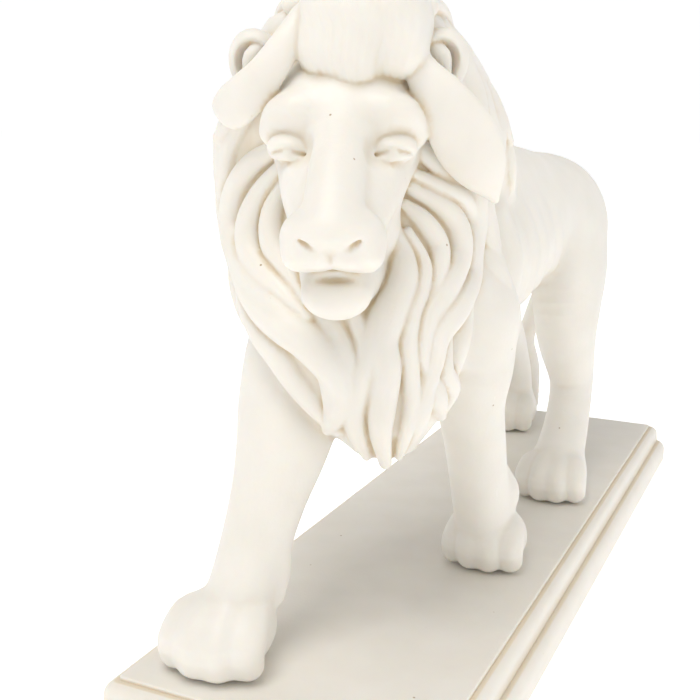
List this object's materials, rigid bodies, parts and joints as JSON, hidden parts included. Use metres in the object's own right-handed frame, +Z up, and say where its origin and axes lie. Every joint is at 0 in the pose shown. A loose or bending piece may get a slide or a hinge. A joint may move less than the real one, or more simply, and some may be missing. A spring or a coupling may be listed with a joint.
{
  "type": "lion sculpture",
  "caption": "Cast ornamental lion striding along a moulded rectangular plinth, head turned to its left, full mane and open mouth.",
  "frame": {"origin": "middle of the plinth's flat underside", "axes": "+Z up, -Y the way the lion strides, +X the lion's left side"},
  "size_m": [0.116, 0.346, 0.2284],
  "materials": {
    "lion_stone": "cream cast marble powder in resin, waxy satin, fine grain, warm in the hollows",
    "plinth_stone": "cream cast marble powder in resin, satin, fine speckled grain"
  },
  "bodies": {
    "root": {"lion": "lion_stone", "plinth": "plinth_stone"}
  },
  "joints": []
}
